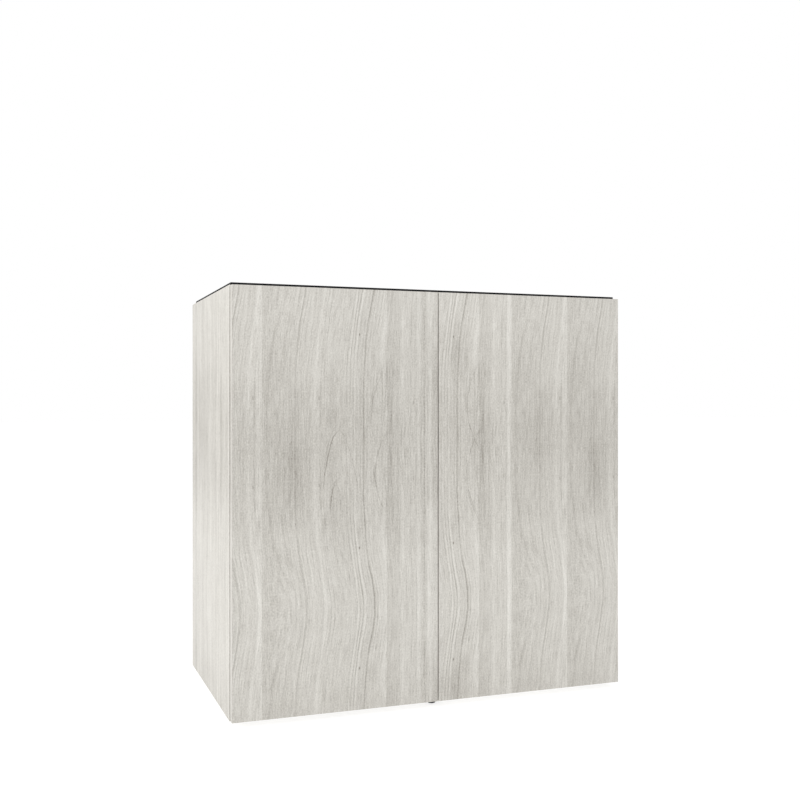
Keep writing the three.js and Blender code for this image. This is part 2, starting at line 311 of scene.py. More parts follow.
def figure(shader, s, ring, w):
    """Growth lines, straight stripes and knots of the decor, as a change of tone."""
    begins, ends = WIDE_PLANK
    inside = shader.math("LESS_THAN", s, ends)
    in_plank = shader.times(shader.math("GREATER_THAN", s, begins), inside)
    patchy = shader.noise(shader.point(shader.times(ring, 40.0), shader.times(w, 9.0), 4.0))
    fade = shader.span(patchy, 0.34, 0.56, 0.35, 1.0)
    deepen = shader.times(in_plank, shader.span(w, 0.0, 0.22, -0.65, -1.15))
    total = shader.times(shader.times(veins(shader, ring, w), fade), deepen)

    step = shader.span(s, ends - 0.0006, ends)
    past = shader.times(step, shader.span(s, ends, ends + 0.034, PAST_PLANK_TONE, 0.0))
    rise = shader.span(s, ends - 0.028, ends, 0.0, FLARE_TONE)
    flare = shader.times(rise, shader.span(w, 0.06, 0.24, 0.35, 1.0))
    total = shader.add(total, past, shader.times(flare, inside))

    glow = shader.span(w, 0.0, 0.33, 0.8, 1.35)
    for place, half, strength in STRIPES:
        total = shader.math("MULTIPLY_ADD", shader.times(bell(shader, s, place, half), glow), strength, total)
    place, half, depth = STITCH
    gaps = shader.span(shader.noise(shader.point(shader.times(w, 260.0), 1.0, 2.0)), 0.42, 0.58)
    total = shader.math("MULTIPLY_ADD", shader.times(bell(shader, s, place, half), gaps), -depth, total)
    for place, height, half, depth in KNOTS:
        knot = shader.times(bell(shader, s, place, KNOT_HALF_WIDTH), bell(shader, w, height, half))
        total = shader.math("MULTIPLY_ADD", knot, -depth, total)
    return total


def arches(shader, u, d):
    """Nested pointed arches, stronger on their left, as a change of tone."""
    total = 0.0
    for centre, top, left, right, height, depth in ARCHES:
        bottom = top + height
        down = shader.math("DIVIDE", shader.add(d, -top), height, clamp=True)
        beside = shader.add(u, -centre)
        on_right = shader.math("GREATER_THAN", beside, 0.0)
        left_leg = shader.times(shader.math("POWER", down, 0.45), left)
        right_leg = shader.times(shader.math("POWER", down, 0.64), right)
        reach = shader.mix(on_right, left_leg, right_leg)
        away = shader.math("SUBTRACT", shader.math("ABSOLUTE", beside), reach)
        starts = shader.span(d, top - 0.003, top)
        fades = shader.span(d, bottom, bottom + 0.3 * height, 1.0, 0.0)
        weight = shader.times(shader.times(starts, fades), shader.mix(on_right, -depth, -0.6 * depth))
        total = shader.math("MULTIPLY_ADD", bell(shader, away, 0.0, ARCH_LINE), weight, total)
    return total


def sweeps(shader, u, d):
    """Veins that curve back to the edge of the plank, as a change of tone."""
    total = 0.0
    for leftmost, middle, curvature, first, last, width, depth in SWEEPS:
        away = squared_distance(shader, d, middle)
        offset = shader.math("MULTIPLY_ADD", away, -curvature, shader.add(u, -leftmost))
        ends = shader.times(shader.span(d, first, first + 0.02), shader.span(d, last - 0.02, last, 1.0, 0.0))
        total = shader.math("MULTIPLY_ADD", shader.times(line_at(shader, offset, width), ends), -depth, total)
    return total


def door_figure(shader, u, d, shake, streak):
    """Arches, sweeps and clouds, which only the doors show, as a change of tone."""
    shaken = shader.math("MULTIPLY_ADD", shake, 0.005, shader.add(u, -0.0025))
    patchy = shader.noise(shader.point(shader.times(u, 45.0), shader.times(d, 26.0), 6.0))
    worn = shader.span(patchy, 0.40, 0.58, 0.30, 1.0)
    drawn = shader.times(shader.add(arches(shader, shaken, d), sweeps(shader, shaken, d)), worn)
    cloud = 0.0
    for (across, down), (half_width, half_height), depth in SMUDGES:
        blot = shader.times(bell(shader, u, across, half_width), bell(shader, d, down, half_height))
        cloud = shader.math("MULTIPLY_ADD", blot, depth, cloud)
    uneven = shader.math("MULTIPLY_ADD", streak, -2.4, 1.0)
    return shader.math("SUBTRACT", drawn, shader.times(cloud, uneven))


def growth_ring(shader, s, w, shake, seed):
    """The growth ring at a point. The rings bulge to the right between the pinches, and every line shakes."""
    begins, ends = WIDE_PLANK
    along = shader.math("POWER", shader.span(w, PINCH, HALF_REPEAT), 1.6)
    swell = shader.times(shader.span(along, 0.0, 1.0, smooth=True), BULGE)
    start = shader.span(s, begins, 0.13, smooth=True)
    held = shader.span(s, ends, 0.36, 1.0, 0.25)
    wander = shader.noise(shader.point(shader.times(s, 14.0), shader.times(w, 5.0), seed))
    bulge = shader.times(shader.times(swell, start), held)
    drift = shader.add(bulge, shader.times(wander, 0.010), shader.times(shake, 0.0022), -0.0061)
    return shader.math("SUBTRACT", s, drift)


def laminate(name, across, down, light=1.0, strength=1.0, fold=1.0, clouds=False, seed=0.0):
    """Grey-beige wood decor. across and down turn object coordinates (x, y, z) into u and d."""
    shader = Shader(name)
    x, y, z = shader.place()
    u = across(shader, x, y, z)
    d = down(shader, x, y, z)
    s = plank_place(shader, u)
    w = shader.math("PINGPONG", shader.add(d, -FOLD_DEPTH + 4 * HALF_REPEAT), HALF_REPEAT)
    shake = shader.noise(shader.point(shader.times(s, 60.0), shader.times(d, 75.0), seed + 1.0))
    ring = growth_ring(shader, s, w, shake, seed)

    def layer(across_scale, along_scale, place, detail=2.0, roughness=0.5, length=w):
        sideways = shader.times(ring, across_scale)
        lengthways = shader.times(length, along_scale)
        vector = shader.point(sideways, lengthways, seed + place)
        return shader.add(shader.noise(vector, 1.0, detail, roughness), -0.5)

    broad = layer(26.0, 1.6, 3.0)
    streak = layer(110.0, 3.0, 5.0, 3.0, 0.65)
    fibre = layer(430.0, 24.0, 7.0, 2.0, 0.75, d)
    pore = layer(1100.0, 60.0, 11.0, 1.0, 0.5, d)
    grit = layer(520.0, 260.0, 17.0, 1.0, 0.5, d)
    patch = layer(12.0, 9.0, 13.0, 1.0, 0.5, d)
    teeth = shader.math("FRACT", shader.add(shader.times(ring, 118.0), shader.times(broad, 6.0)))
    tooth = shader.times(shader.span(teeth, 0.0, 0.08), shader.span(teeth, 0.08, 0.42, 1.0, 0.0, smooth=True))
    growth = shader.times(tooth, shader.span(layer(30.0, 5.0, 19.0), -0.06, 0.16, smooth=True))

    # Streaks and growth lines are weaker at the left of the wide plank and in a band in its middle
    calm_left = shader.span(s, 0.10, 0.13, 0.5, 1.0)
    calm_middle = shader.math("MULTIPLY_ADD", bell(shader, s, 0.217, 0.024), -0.5, 1.0)
    calm = shader.times(calm_left, calm_middle)

    # light and fold set the decor's base tone and the depth of its banding down the board; where a copy sets
    # them away from 1, as the side copy does, the difference is painted shade
    tone = shader.add(
        light,
        shader.times(broad, 0.14 * strength),
        shader.times(shader.times(streak, calm), 0.20 * strength),
        shader.times(fibre, 0.38),
        shader.times(grit, 0.30),
        shader.times(patch, 0.08),
        shader.times(shader.span(pore, 0.08, 0.22), -0.10),
        shader.times(shader.times(growth, calm), -0.09),
        shader.span(w, 0.03, 0.27, -0.036 * fold, 0.022 * fold, smooth=True),
        figure(shader, s, ring, w),
    )
    for edge in LIGHT_EDGES:
        band = shader.times(shader.span(u, edge - 0.015, edge - 0.010), shader.math("LESS_THAN", u, edge))
        tone = shader.math("MULTIPLY_ADD", band, LIGHT_EDGE_TONE, tone)
    if clouds:
        tone = shader.add(tone, door_figure(shader, u, d, shake, streak))
    colour = shader.colour_ramp(shader.span(tone, 0.7, 1.3), LAMINATE_STOPS)
    grain = shader.add(shader.times(fibre, 0.6), shader.times(pore, -0.6), shader.times(growth, -0.6))
    shader.bump(grain, 0.00006, 0.6)
    return shader.set(colour=colour, roughness=shader.span(fibre, -0.2, 0.2, 0.46, 0.58), specular=0.4)


def front_across(shader, x, y, z):
    return shader.add(x, -BODY_LEFT)


def front_down(shader, x, y, z):
    return shader.math("SUBTRACT", BODY_TOP, z)


def back_across(shader, x, y, z):
    return shader.add(x, 2.2)


def side_across(shader, x, y, z):
    return shader.add(y, 1.2)


def flat_across(shader, x, y, z):
    return shader.add(y, z, 0.3)


def flat_down(shader, x, y, z):
    return shader.add(x, 0.5)


def band_across(shader, x, y, z):
    return shader.add(x, y, 1.6)


def deep_across(shader, x, y, z):
    return shader.add(x, z, 1.9)


def deep_down(shader, x, y, z):
    return shader.add(y, 0.5)


# ---------------------------------------------------------------- other materials
def metal(name, colour, roughness, brushed=0.0):
    shader = Shader(name)
    x, y, z = shader.place()
    grit = shader.noise(shader.point(x, y, z), 900.0, 3.0)
    drawn_out = shader.point(shader.times(x, 200.0), shader.times(y, 4000.0), shader.times(z, 4000.0))
    scratch = shader.noise(drawn_out, 1.0, 2.0)
    shader.bump(shader.add(grit, shader.times(scratch, brushed)), 0.00003, 0.35)
    return shader.set(colour=colour, metallic=1.0,
                      roughness=shader.span(grit, 0.3, 0.7, roughness - 0.05, roughness + 0.08))


def plastic(name, colour, roughness, grain=1500.0):
    shader = Shader(name)
    x, y, z = shader.place()
    speck = shader.noise(shader.point(x, y, z), grain, 2.0)
    patch = shader.noise(shader.point(x, y, z), 60.0, 2.0)
    low = tuple(c * 0.9 for c in colour)
    high = tuple(min(1.0, c * 1.1) for c in colour)
    tint = shader.colour_ramp(patch, ((0.35, low), (0.65, high)))
    shader.bump(speck, 0.00005, 0.5)
    return shader.set(colour=tint, roughness=shader.span(speck, 0.3, 0.7, roughness - 0.06, roughness + 0.06))


def foam(name):
    shader = Shader(name)
    x, y, z = shader.place()
    cells = shader.node("TexVoronoi", {"Vector": shader.point(x, y, z), "Scale": 1400.0}).outputs["Distance"]
    patch = shader.noise(shader.point(x, y, z), 30.0, 3.0)
    tint = shader.colour_ramp(patch, ((0.3, (0.011, 0.011, 0.012)), (0.7, (0.015, 0.015, 0.016))))
    shader.bump(cells, 0.0002, 0.6)
    return shader.set(colour=tint, roughness=0.93, specular=0.2)


FRONT = laminate("front_laminate", front_across, front_down, clouds=True)
# The side copy is set a little darker (light 0.995) and its banding down the board 1.6 times deeper (fold
# 1.6) than on the doors: painted shade for how light falls on the side, over the decor's own banding. The
# centre divider shares it.
SIDE = laminate("side_laminate", side_across, front_down, light=0.995, strength=1.45, fold=1.6, seed=5.3)
BACK = laminate("back_laminate", back_across, front_down, seed=9.1)
FLAT = laminate("flat_laminate", flat_across, flat_down, seed=2.7)
NICKEL = metal("nickel_plate", (0.62, 0.61, 0.58), 0.30, brushed=0.4)
BLACK = plastic("black_moulding", (0.018, 0.018, 0.019), 0.42)
GREY = plastic("grey_moulding", (0.56, 0.56, 0.55), 0.45)
FOAM = foam("black_foam")


# ---------------------------------------------------------------- mesh helpers
ALONG_X = Matrix(((0, 0, 1, 0), (1, 0, 0, 0), (0, 1, 0, 0), (0, 0, 0, 1)))
ALONG_Y = Matrix(((1, 0, 0, 0), (0, 0, 1, 0), (0, 1, 0, 0), (0, 0, 0, 1)))
ALONG_Z = Matrix.Identity(4)


class Shape:
    """Closed shells gathered into one mesh. Sizes are in millimetres, and frame places them in metres."""

    def __init__(self, frame=ALONG_Z):
        self.bm = bmesh.new()
        self.frame = frame

    def keep(self, bm, place=ALONG_Z):
        bmesh.ops.recalc_face_normals(bm, faces=bm.faces)
        matrix = self.frame @ Matrix.Scale(MILLIMETRE, 4) @ place
        bmesh.ops.transform(bm, matrix=matrix, verts=bm.verts)
        if matrix.determinant() < 0.0:
            bmesh.ops.reverse_faces(bm, faces=bm.faces)
        mesh = bpy.data.meshes.new("shell")
        bm.to_mesh(mesh)
        bm.free()
        self.bm.from_mesh(mesh)
        bpy.data.meshes.remove(mesh)

    def turned(self, profile, place=ALONG_Z, segments=48, ring=False, radius_at=None):
        """Profile of (radius, height) turned round local Z; ring closes the profile on itself."""
        bm = bmesh.new()
        columns = []
        for i in range(segments):
            angle = 2 * math.pi * i / segments
            column = []
            for radius, height in profile:
                if radius_at:
                    radius, height = radius_at(radius, height, angle)
                column.append(bm.verts.new((radius * math.cos(angle), radius * math.sin(angle), height)))
            columns.append(column)
        for column, following in zip(columns, columns[1:] + columns[:1]):
            for a, b in zip(range(len(profile)), list(range(1, len(profile))) + ([0] if ring else [])):
                corners = (column[a], column[b], following[b], following[a])
                bm.faces.new(corners)
        bmesh.ops.remove_doubles(bm, verts=bm.verts, dist=1e-5)
        self.keep(bm, place)

    def slab(self, outline, low, high, place=ALONG_Z, bevel=0.25):
        """Outline of (x, y) points given thickness from low to high along local Z."""
        bm = bmesh.new()
        face = bm.faces.new([bm.verts.new((x, y, low)) for x, y in outline])
        made = bmesh.ops.extrude_face_region(bm, geom=[face])
        raised = [item for item in made["geom"] if isinstance(item, bmesh.types.BMVert)]
        bmesh.ops.translate(bm, verts=raised, vec=(0, 0, high - low))
        rims = [edge for edge in bm.edges if abs(edge.verts[0].co.z - edge.verts[1].co.z) < 1e-6]
        bmesh.ops.bevel(bm, geom=rims, offset=bevel, segments=2, affect="EDGES", profile=0.5)
        self.keep(bm, place)

    def block(self, low, high, bevel=0.5):
        bm = bmesh.new()
        middle = (Vector(low) + Vector(high)) / 2
        size = Vector(high) - Vector(low)
        bmesh.ops.create_cube(bm, size=1.0, matrix=Matrix.Translation(middle) @ Matrix.Diagonal((*size, 1.0)))
        bmesh.ops.bevel(bm, geom=bm.edges[:], offset=bevel, segments=3, affect="EDGES", profile=0.5)
        self.keep(bm)

    def rod(self, radius, low, high, place=ALONG_Z, round_off=0.3, segments=32):
        """Round bar from low to high along local Z, with its ends rounded off."""
        profile = [(0, low), (radius - round_off, low), (radius, low + round_off),
                   (radius, high - round_off), (radius - round_off, high), (0, high)]
        self.turned(profile, place, segments)

    def stamped(self, mesh, place):
        """A copy of a ready mesh, itself in millimetres."""
        bm = bmesh.new()
        bm.from_mesh(mesh)
        self.keep(bm, place)

    def piece(self, name, material, slot, body, replaces=()):
        mesh = bpy.data.meshes.new(name)
        self.bm.to_mesh(mesh)
        self.bm.free()
        shade(mesh)
        return new_piece(name, mesh, [material], body, replaces)


def shade(mesh, angle=35.0):
    """Smooth shading, with sharp edges kept sharp."""
    mesh.polygons.foreach_set("use_smooth", [True] * len(mesh.polygons))
    bm = bmesh.new()
    bm.from_mesh(mesh)
    for edge in bm.edges:
        edge.smooth = len(edge.link_faces) == 2 and edge.calc_face_angle(0.0) < math.radians(angle)
    bm.to_mesh(mesh)
    bm.free()


def new_piece(name, mesh, materials, body, replaces=()):
    piece = bpy.data.objects.new(name, mesh)
    bpy.context.scene.collection.objects.link(piece)
    mesh.materials.clear()
    for material in materials:
        mesh.materials.append(material)
    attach(piece, body)
    if replaces:
        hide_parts(*replaces)
    return piece


def at(x, y, z, turn=ALONG_Z):
    return Matrix.Translation((x, y, z)) @ turn


def rounded_rectangle(x0, y0, x1, y1, radius, steps=6):
    points = []
    for corner, (cx, cy) in enumerate([(x1 - radius, y1 - radius), (x0 + radius, y1 - radius),
                                       (x0 + radius, y0 + radius), (x1 - radius, y0 + radius)]):
        for step in range(steps + 1):
            angle = math.pi / 2 * (corner + step / steps)
            points.append((cx + radius * math.cos(angle), cy + radius * math.sin(angle)))
    return points


def capsule(a, b, half_width, steps=10):
    """Outline of a bar with round ends from point a to point b."""
    heading = math.atan2(b[1] - a[1], b[0] - a[0])
    points = []
    for centre, start in ((b, heading - math.pi / 2), (a, heading + math.pi / 2)):
        for step in range(steps + 1):
            angle = start + math.pi * step / steps
            x, y = half_width * math.cos(angle), half_width * math.sin(angle)
            points.append((centre[0] + x, centre[1] + y))
    return points


def softened(node, radius, angle=40.0):
    """A CAD node's mesh with its sharp edges rounded over."""
    mesh = NODES[node].data.copy()
    bm = bmesh.new()
    bm.from_mesh(mesh)
    bmesh.ops.remove_doubles(bm, verts=bm.verts, dist=1e-6)
    bmesh.ops.dissolve_limit(bm, angle_limit=math.radians(0.5), verts=bm.verts, edges=bm.edges)
    limit = math.radians(angle)
    sharp = [edge for edge in bm.edges if len(edge.link_faces) == 2 and edge.calc_face_angle(0.0) > limit]
    bmesh.ops.bevel(bm, geom=sharp, offset=radius, segments=3, affect="EDGES", profile=0.5,
                    clamp_overlap=True)
    bm.to_mesh(mesh)
    bm.free()
    shade(mesh)
    return mesh


# ---------------------------------------------------------------- boards
BOARD_EDGE = 0.0006
MAT_EDGE = 0.0012
BANDS = (
    laminate("banding_along_x", flat_across, flat_down, seed=6.1),
    laminate("banding_along_y", deep_across, deep_down, seed=8.4),
    laminate("banding_along_z", band_across, front_down, seed=4.9),
)


def board(node, material):
    """Board with its faces in the decor, and banding on its edges with the grain along each edge."""
    mesh = softened(node, BOARD_EDGE)
    new_piece(f"{node}_board", mesh, [material, *BANDS], BODY_OF[node], (node,))
    low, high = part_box(node)
    size = high - low
    thickness = min(range(3), key=lambda axis: size[axis])
    for face in mesh.polygons:
        facing = max(range(3), key=lambda axis: abs(face.normal[axis]))
        if facing != thickness:
            along = max({0, 1, 2} - {facing}, key=lambda axis: size[axis])
            face.material_index = 1 + along


for side in SIDES:
    board(f"{side}_door", FRONT)
    board(f"{side}_side_panel", SIDE)
    board(f"{side}_shelf", FLAT)
board("top_panel", FLAT)
board("bottom_panel", FLAT)
board("back_panel", BACK)
board("centre_divider", SIDE)
mat_mesh = softened("levelling_mat", MAT_EDGE)
mat = new_piece("levelling_mat_foam", mat_mesh, [FOAM], BODY_OF["levelling_mat"], ("levelling_mat",))


# ---------------------------------------------------------------- screws
def screw_head(radius, height):
    """Domed head with a cross recess, standing on local Z = 0."""
    shape = Shape(Matrix.Scale(1 / MILLIMETRE, 4))
    dome = [(0, 0), (radius - 0.1, 0), (radius, 0.15), (radius * 0.96, height * 0.45),
            (radius * 0.8, height * 0.8), (radius * 0.5, height * 0.97), (0, height)]
    shape.turned(dome, segments=32)
    head = bpy.data.objects.new("screw_head", bpy.data.meshes.new("screw_head"))
    shape.bm.to_mesh(head.data)
    shape.bm.free()
    bpy.context.scene.collection.objects.link(head)
    reach, half, floor = radius * 0.58, radius * 0.12, height * 0.35
    cutter = bpy.data.objects.new("cross_recess", bpy.data.meshes.new("cross_recess"))
    bm = bmesh.new()
    corners = [(reach, half), (half, half), (half, reach)]
    outline = []
    for quarter in range(4):
        turn = Matrix.Rotation(quarter * math.pi / 2, 2)
        outline += [turn @ Vector(corner) for corner in corners]
    face = bm.faces.new([bm.verts.new((x, y, floor)) for x, y in outline])
    made = bmesh.ops.extrude_face_region(bm, geom=[face])
    raised = [item for item in made["geom"] if isinstance(item, bmesh.types.BMVert)]
    bmesh.ops.translate(bm, verts=raised, vec=(0, 0, height + 1.0))
    bmesh.ops.recalc_face_normals(bm, faces=bm.faces)
    bm.to_mesh(cutter.data)
    bm.free()
    bpy.context.scene.collection.objects.link(cutter)
    cut = head.modifiers.new("cut", "BOOLEAN")
    cut.operation = "DIFFERENCE"
    cut.object = cutter
    evaluated = head.evaluated_get(bpy.context.evaluated_depsgraph_get())
    mesh = bpy.data.meshes.new_from_object(evaluated)
    bpy.data.objects.remove(head)
    bpy.data.objects.remove(cutter)
    return mesh


WOOD_SCREW = screw_head(3.7, 1.3)
ADJUSTING_SCREW = screw_head(3.2, 1.2)
FLUSH_SCREW = screw_head(2.8, 0.25)
SMALL_SCREW = screw_head(2.4, 0.9)

# ---------------------------------------------------------------- hinges
# Millimetres in each hinge's own frame: X inward from the side board's outer face, Y back from the front
# of the carcass, Z up from the middle of the hinge.
CUP_X = 24.0
DOOR_FACE = -2.5
CUP_FLOOR = -16.0
ARM_PIVOT = (42.0, 1.5)
CUP_PIVOT = (15.3, -5.5)
LINK_BEND = (18.4, -8.1)
BOARD_MM = 18.0


def hinge_frame(side, level):
    sign = SIDES[side]
    low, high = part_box(f"{side}_{level}_hinge_cup")
    mirror = Matrix.Diagonal((-sign, 1.0, 1.0, 1.0))
    return Matrix.Translation((-sign * BODY_LEFT, BODY_LOW.y, (low.z + high.z) / 2)) @ mirror


def hinge_cup(side, level):
    """Pressed cup with a rolled rim and two screwed ears."""
    node = f"{side}_{level}_hinge_cup"
    shape = Shape(hinge_frame(side, level))
    rim = DOOR_FACE + 0.8
    profile = [(0, CUP_FLOOR), (16.2, CUP_FLOOR), (17.2, CUP_FLOOR + 0.4), (17.5, CUP_FLOOR + 1.2),
               (17.5, DOOR_FACE), (19.2, DOOR_FACE), (19.3, rim - 0.4), (18.9, rim), (17.2, rim),
               (16.6, rim - 0.5), (16.4, rim - 1.2), (16.4, CUP_FLOOR + 1.8), (15.8, CUP_FLOOR + 1.1),
               (15.0, CUP_FLOOR + 0.8), (0, CUP_FLOOR + 0.8)]

    def notched(radius, height, angle):
        if math.cos(angle) > 0.0 and abs(radius * math.sin(angle)) < 8.4 and radius > 8.4:
            return min(radius, 17.5), min(height, DOOR_FACE - 3.0)
        return radius, height

    shape.turned(profile, at(CUP_X, 0, 0, ALONG_Y), segments=96, radius_at=notched)
    for s in (-1, 1):
        ear = [(x, s * z) for x, z in rounded_rectangle(21.0, 12.5, 45.0, 31.0, 5.0)]
        shape.slab(ear, DOOR_FACE, rim, ALONG_Y, bevel=0.2)
        shape.stamped(WOOD_SCREW, at(33.5, rim, s * 24.0, ALONG_Y))
    shape.rod(1.2, -13.8, 13.8, at(*CUP_PIVOT, 0), round_off=0.1)
    shape.piece(f"{node}_pressed", NICKEL, "nickel_steel", BODY_OF[node], (node,))


def hinge_link(side, level):
    """Cranked link with a rolled eye at each end."""
    node = f"{side}_{level}_hinge_link"
    shape = Shape(hinge_frame(side, level))
    for a, b in ((ARM_PIVOT, LINK_BEND), (LINK_BEND, CUP_PIVOT)):
        shape.slab(capsule(a, b, 2.15), -6.9, 6.9, bevel=0.35)
    for x, y in (ARM_PIVOT, CUP_PIVOT):
        shape.rod(3.0, -7.0, 7.0, at(x, y, 0), round_off=0.4)
    shape.piece(f"{node}_cranked", NICKEL, "nickel_steel", BODY_OF[node], (node,))


def hinge_arm(side, level):
    """Channel-shaped arm with its rivet and two adjusting screws."""
    node = f"{side}_{level}_hinge_arm"
    shape = Shape(hinge_frame(side, level))
    top, near, far, back = 45.5, 7.4, 8.9, 76.0
    shape.slab(rounded_rectangle(8.0, -far, back, far, 2.5), top - 1.5, top, ALONG_X, bevel=0.3)
    nose = [(ARM_PIVOT[0] + 3.4 * math.cos(a), ARM_PIVOT[1] + 3.4 * math.sin(a))
            for a in [math.pi + math.pi * i / 12 for i in range(13)]]
    cheek = nose + [(top - 0.2, 10.0), (top - 0.2, back - 1.0), (top - 2.0, back), (36.0, back),
                    (34.0, back - 2.0), (34.0, 16.0), (36.5, 10.0), (38.6, 7.0)]
    for low, high in ((near, far), (-far, -near)):
        shape.slab(cheek, low, high, bevel=0.2)
    shape.rod(1.2, -far, far, at(*ARM_PIVOT, 0), round_off=0.1)
    for s in (-1, 1):
        shape.turned([(0, 0), (2.3, 0), (2.2, 0.35), (1.5, 0.6), (0, 0.65)],
                     at(*ARM_PIVOT, s * far, Matrix.Diagonal((1, 1, s, 1))), segments=24)
    shape.stamped(ADJUSTING_SCREW, at(top, 22.0, 0, ALONG_X))
    shape.stamped(WOOD_SCREW, at(top, 56.0, 0, ALONG_X))
    shape.block((37.0, back - 2.0, -near), (top - 1.0, back, near), bevel=0.3)
    shape.piece(f"{node}_channel", NICKEL, "nickel_steel", BODY_OF[node], (node,))


def hinge_plate(side, level):
    """Mounting plate with its two wood screws, and the rail that carries the arm."""
    node = f"{side}_{level}_hinge_plate"
    shape = Shape(hinge_frame(side, level))
    shape.slab(rounded_rectangle(18.0, -24.0, 64.0, 24.0, 9.0), BOARD_MM, BOARD_MM + 2.5, ALONG_X, bevel=0.5)
    shape.block((BOARD_MM, 14.0, -7.0), (44.0, 74.0, 7.0), bevel=0.8)
    for s in (-1, 1):
        shape.stamped(WOOD_SCREW, at(BOARD_MM + 2.5, 37.0, s * 16.0, ALONG_X))
    shape.piece(f"{node}_screwed", NICKEL, "nickel_steel", BODY_OF[node], (node,))


for side in SIDES:
    for level in LEVELS:
        hinge_cup(side, level)
        hinge_link(side, level)
        hinge_arm(side, level)
        hinge_plate(side, level)


# ---------------------------------------------------------------- latches, shelf pins and grommets
def middle_of(node):
    low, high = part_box(node)
    return (low + high) / 2


def latch(side):
    """Push latch: housing with a collar and two screws, plunger with a rounded tip, strike plate."""
    housing, plunger, strike = (f"{side}_latch_{part}" for part in ("housing", "plunger", "strike"))
    new_piece(f"{housing}_moulded", softened(housing, 0.0006), [GREY], BODY_OF[housing],
              (housing,))
    low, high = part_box(housing)
    x, z = (low.x + high.x) / 2 / MILLIMETRE, middle_of(plunger).z / MILLIMETRE
    front, back = low.y / MILLIMETRE, high.y / MILLIMETRE
    trim = Shape()
    collar = [(4.4, 0.0), (6.4, 0.0), (6.4, 0.4), (6.0, 0.7), (4.8, 0.7), (4.4, 0.4)]
    trim.turned(collar, at(x, front, z, ALONG_Y @ Matrix.Diagonal((1, 1, -1, 1))), ring=True)
    trim.piece(f"{side}_latch_collar", GREY, "grey_plastic", BODY_OF[housing])
    screws = Shape()
    for y in (front + 14.0, back - 12.0):
        screws.stamped(SMALL_SCREW, at(x, y, low.z / MILLIMETRE, Matrix.Diagonal((1, 1, -1, 1))))
    screws.piece(f"{side}_latch_screws", NICKEL, "nickel_steel", BODY_OF[housing])

    low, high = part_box(plunger)
    tip, tail = low.y / MILLIMETRE, high.y / MILLIMETRE
    rod = Shape()
    profile = [(0, tip), (2.4, tip + 0.1), (3.4, tip + 0.6), (4.0, tip + 1.6), (4.0, tip + 4.0),
               (3.7, tip + 4.3), (3.7, tip + 4.9), (4.0, tip + 5.2), (4.0, tail - 0.4), (3.6, tail),
               (0, tail)]
    rod.turned(profile, at(x, 0, z, ALONG_Y), segments=40)
    rod.piece(f"{plunger}_turned", GREY, "grey_plastic", BODY_OF[plunger], (plunger,))

    low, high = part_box(strike)
    face = high.y / MILLIMETRE
    plate = Shape()
    profile = [(0, low.y / MILLIMETRE), (7.8, low.y / MILLIMETRE), (8.0, face - 0.7), (7.9, face - 0.2),
               (7.5, face), (3.4, face), (2.9, face - 0.25), (0, face - 0.25)]
    plate.turned(profile, at(x, 0, z, ALONG_Y), segments=48)
    plate.stamped(FLUSH_SCREW, at(x, face - 0.25, z, ALONG_Y))
    plate.piece(f"{strike}_plate", NICKEL, "nickel_steel", BODY_OF[strike], (strike,))


def shelf_pin(node, face, direction):
    """Pin with a thin collar against the board it is pushed into."""
    low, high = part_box(node)
    middle = (low + high) / 2 / MILLIMETRE
    buried, tip = (low.x, high.x) if direction > 0 else (high.x, low.x)
    depth = abs(face - buried) / MILLIMETRE
    reach = abs(tip - face) / MILLIMETRE
    shape = Shape()
    profile = [(0, -depth), (2.0, -depth), (2.5, -depth + 0.5), (2.5, 0), (3.5, 0), (3.5, 0.6), (3.3, 0.8),
               (2.5, 0.8), (2.5, reach - 0.8), (2.2, reach - 0.2), (1.7, reach), (0, reach)]
    flip = Matrix.Diagonal((1, 1, direction, 1))
    shape.turned(profile, at(face / MILLIMETRE, middle.y, middle.z, ALONG_X @ flip), segments=32)
    shape.piece(f"{node}_turned", NICKEL, "nickel_steel", BODY_OF[node], (node,))


def grommet(side):
    """Cable grommet: a sleeve with a rounded rim on the outer face."""
    node = f"{side}_cable_grommet"
    low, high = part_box(node)
    middle = (low + high) / 2 / MILLIMETRE
    inner, rim = low.y / MILLIMETRE, high.y / MILLIMETRE
    wall = rim - 2.0
    profile = [(35.0, inner + 0.5), (35.5, inner), (39.2, inner), (39.7, inner + 0.5), (39.7, wall),
               (44.6, wall), (45.0, wall + 0.5), (44.8, wall + 1.2), (44.0, rim - 0.2), (42.5, rim),
               (36.6, rim), (35.6, rim - 0.3), (35.0, rim - 1.0)]
    shape = Shape()
    shape.turned(profile, at(middle.x, 0, middle.z, ALONG_Y), segments=96, ring=True)
    shape.piece(f"{node}_moulded", BLACK, "black_plastic", BODY_OF[node], (node,))


for side, sign in SIDES.items():
    latch(side)
    grommet(side)
    for column in ("front", "back"):
        outer_face = -BODY_HIGH.x if sign > 0 else BODY_HIGH.x
        inner_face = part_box("centre_divider")[1 if sign > 0 else 0].x
        shelf_pin(f"{side}_shelf_pin_outer_{column}", outer_face, -sign)
        shelf_pin(f"{side}_shelf_pin_inner_{column}", inner_face, sign)


